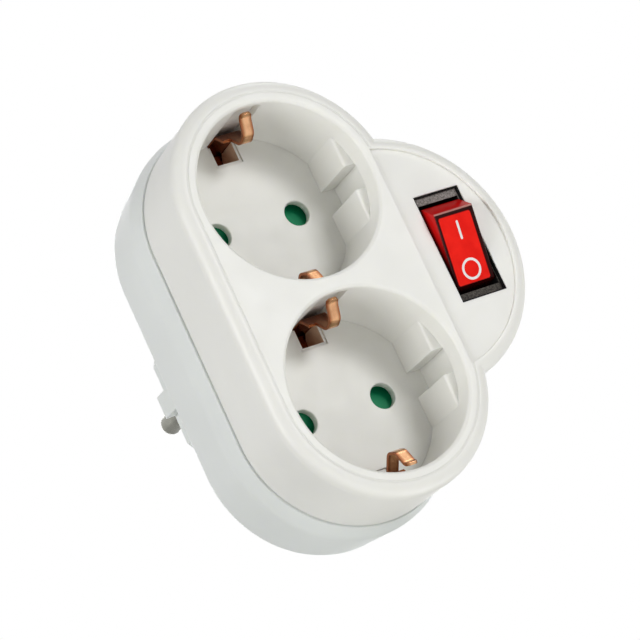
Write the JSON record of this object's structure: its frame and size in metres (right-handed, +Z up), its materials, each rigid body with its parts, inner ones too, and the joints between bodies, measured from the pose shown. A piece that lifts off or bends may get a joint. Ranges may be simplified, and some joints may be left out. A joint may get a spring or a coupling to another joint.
{
  "type": "switched plug adapter",
  "caption": "Round-pin socket adapter with stacked outlets, shuttered pin holes, side earth clips, an illuminated rocker switch in a side lobe and a plug on its back.",
  "frame": {"origin": "middle of the plug's end face, between the roots of its pins", "axes": "+Y out of the back along the pins, +Z up along the row of sockets, +X towards the switch"},
  "size_m": [0.0714, 0.0762, 0.0934],
  "materials": {
    "cover": "off-white, moulded, slightly glossy",
    "base": "off-white, moulded",
    "pin_metal": "nickel plated, polished",
    "copper": "copper alloy, bright",
    "brass": "plain stamped brass",
    "steel": "zinc plated",
    "shutter": "dark green",
    "plate": "natural",
    "switch_black": "fine texture",
    "rocker_red": "translucent red with white marks",
    "lamp_glass": "clear lamp glass",
    "insulator": "brown-grey moulded insulator",
    "resistor": "lacquered",
    "wire_brown": "insulated wire",
    "wire_blue": "insulated wire"
  },
  "bodies": {
    "housing": {"case_screw_1": "steel", "case_screw_2": "steel", "case_screw_3": "steel", "case_screw_4": "steel", "clip_block_lower_bottom": "insulator", "clip_block_lower_top": "insulator", "clip_block_upper_bottom": "insulator", "clip_block_upper_top": "insulator", "earth_bar": "copper", "earth_clip_lower_bottom": "copper", "earth_clip_lower_top": "copper", "earth_clip_upper_bottom": "copper", "earth_clip_upper_top": "copper", "front_cover": "cover", "live_bar": "brass", "neutral_bar": "brass", "pin_live": "pin_metal", "pin_neutral": "pin_metal", "plug_earth_lower": "pin_metal", "plug_earth_upper": "pin_metal", "rear_base": "base", "shutter_plate_lower": "plate", "shutter_plate_upper": "plate", "switch_housing": "switch_black", "terminal_lamp": "brass", "terminal_line": "brass", "terminal_load": "brass", "wire_lamp": "wire_blue", "wire_line": "wire_brown", "wire_load": "wire_brown"},
    "rocker": {"rocker": "rocker_red", "rocker_plunger": "brass", "rocker_spring": "steel", "neon_lamp": "lamp_glass", "lamp_resistor": "resistor"},
    "contact_lever": {"contact_lever": "copper"},
    "shutter_upper": {"shutter_upper": "shutter", "shutter_spring_upper": "steel"},
    "shutter_lower": {"shutter_lower": "shutter", "shutter_spring_lower": "steel"}
  },
  "joints": [
    {"name": "rocker_tilt", "type": "hinge", "parent": "housing", "child": "rocker", "pos_m": [0.0312, -0.0521, 0], "axis": [-1, 0, 0], "range_deg": [0, 29.4]},
    {"name": "lever_tilt", "type": "hinge", "parent": "housing", "child": "contact_lever", "pos_m": [0.0312, -0.0407, 0], "axis": [1, 0, 0], "range_deg": [0, 14]},
    {"name": "shutter_upper_turn", "type": "hinge", "parent": "housing", "child": "shutter_upper", "pos_m": [0, -0.0353, 0.0211], "axis": [0, 1, 0], "range_deg": [0, 40], "stiffness_Nm_per_rad": 0.0015, "springref_deg": -17.19},
    {"name": "shutter_lower_turn", "type": "hinge", "parent": "housing", "child": "shutter_lower", "pos_m": [0, -0.0353, -0.0211], "axis": [0, 1, 0], "range_deg": [0, 40], "stiffness_Nm_per_rad": 0.0015, "springref_deg": -17.19}
  ],
  "couplings": [
    {"joint": "lever_tilt", "follows": "rocker_tilt", "ratio": 0.47619}
  ]
}
